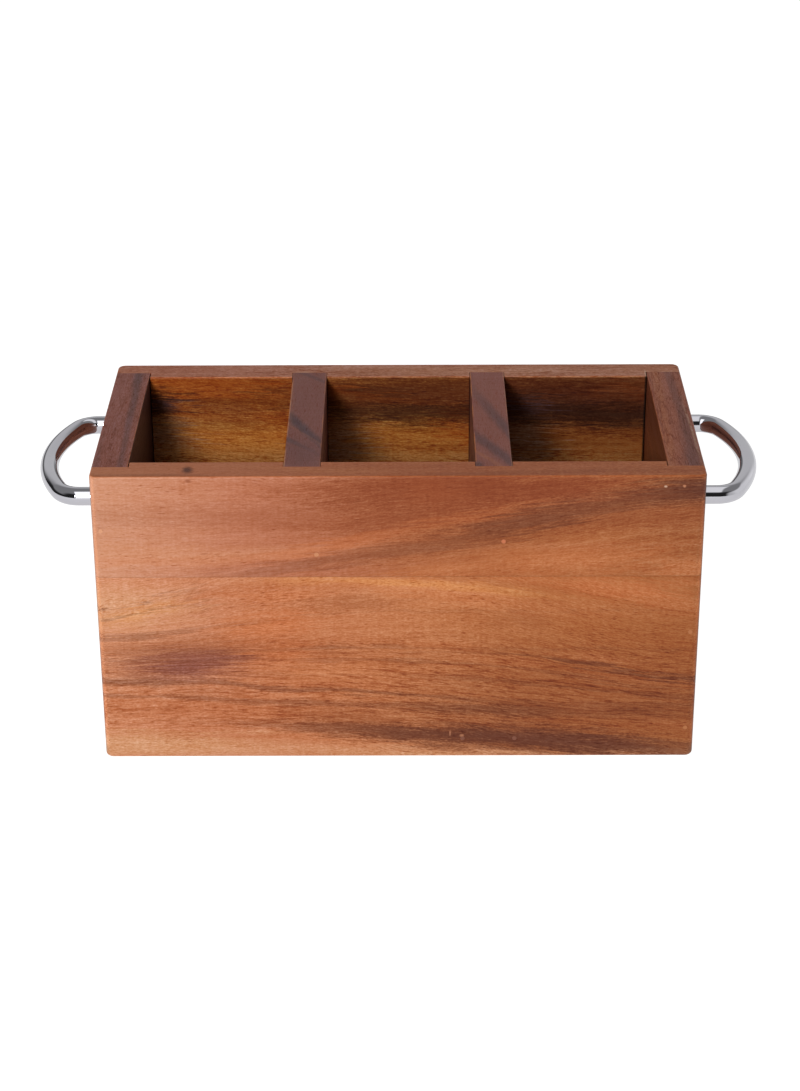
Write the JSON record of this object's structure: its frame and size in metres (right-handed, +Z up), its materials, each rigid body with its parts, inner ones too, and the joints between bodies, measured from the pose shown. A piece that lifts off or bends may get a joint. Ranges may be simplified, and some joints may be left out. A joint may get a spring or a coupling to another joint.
{
  "type": "cutlery holder",
  "caption": "Open rectangular wooden caddy with divided upright compartments for cutlery and a fixed polished metal bow handle on each end for carrying.",
  "frame": {"origin": "on the table under the middle of the caddy, the centre of the box's bottom", "axes": "+X to the right along the caddy's length towards the right handle, +Y from the front to the back, +Z up"},
  "size_m": [0.3668, 0.146, 0.1575],
  "materials": {
    "front_wood": "oiled hardwood, warm tan to red brown, satin",
    "back_wood": "oiled hardwood, golden to red brown, satin",
    "end_wood": "oiled hardwood, dark red brown, satin",
    "divider_wood": "oiled hardwood, dark brown with slanting streaks, satin",
    "base_wood": "oiled hardwood, mid brown, satin",
    "handle_metal": "mirror polished",
    "fastener_steel": "zinc plated",
    "filler": "pale wood filler, matt"
  },
  "bodies": {
    "root": {"front_upper_board": "front_wood", "front_lower_board": "front_wood", "back_upper_board": "back_wood", "back_lower_board": "back_wood", "left_end_upper_board": "end_wood", "left_end_lower_board": "end_wood", "right_end_upper_board": "end_wood", "right_end_lower_board": "end_wood", "left_divider_upper_board": "divider_wood", "left_divider_lower_board": "divider_wood", "right_divider_upper_board": "divider_wood", "right_divider_lower_board": "divider_wood", "base_front_board": "base_wood", "base_back_board": "base_wood", "left_handle": "handle_metal", "right_handle": "handle_metal", "left_handle_screws": "fastener_steel", "right_handle_screws": "fastener_steel", "left_handle_washers": "fastener_steel", "right_handle_washers": "fastener_steel", "left_handle_plugs": "end_wood", "right_handle_plugs": "end_wood", "front_brads": "fastener_steel", "back_brads": "fastener_steel", "front_brad_fillers": "filler", "back_brad_fillers": "filler"}
  },
  "joints": []
}
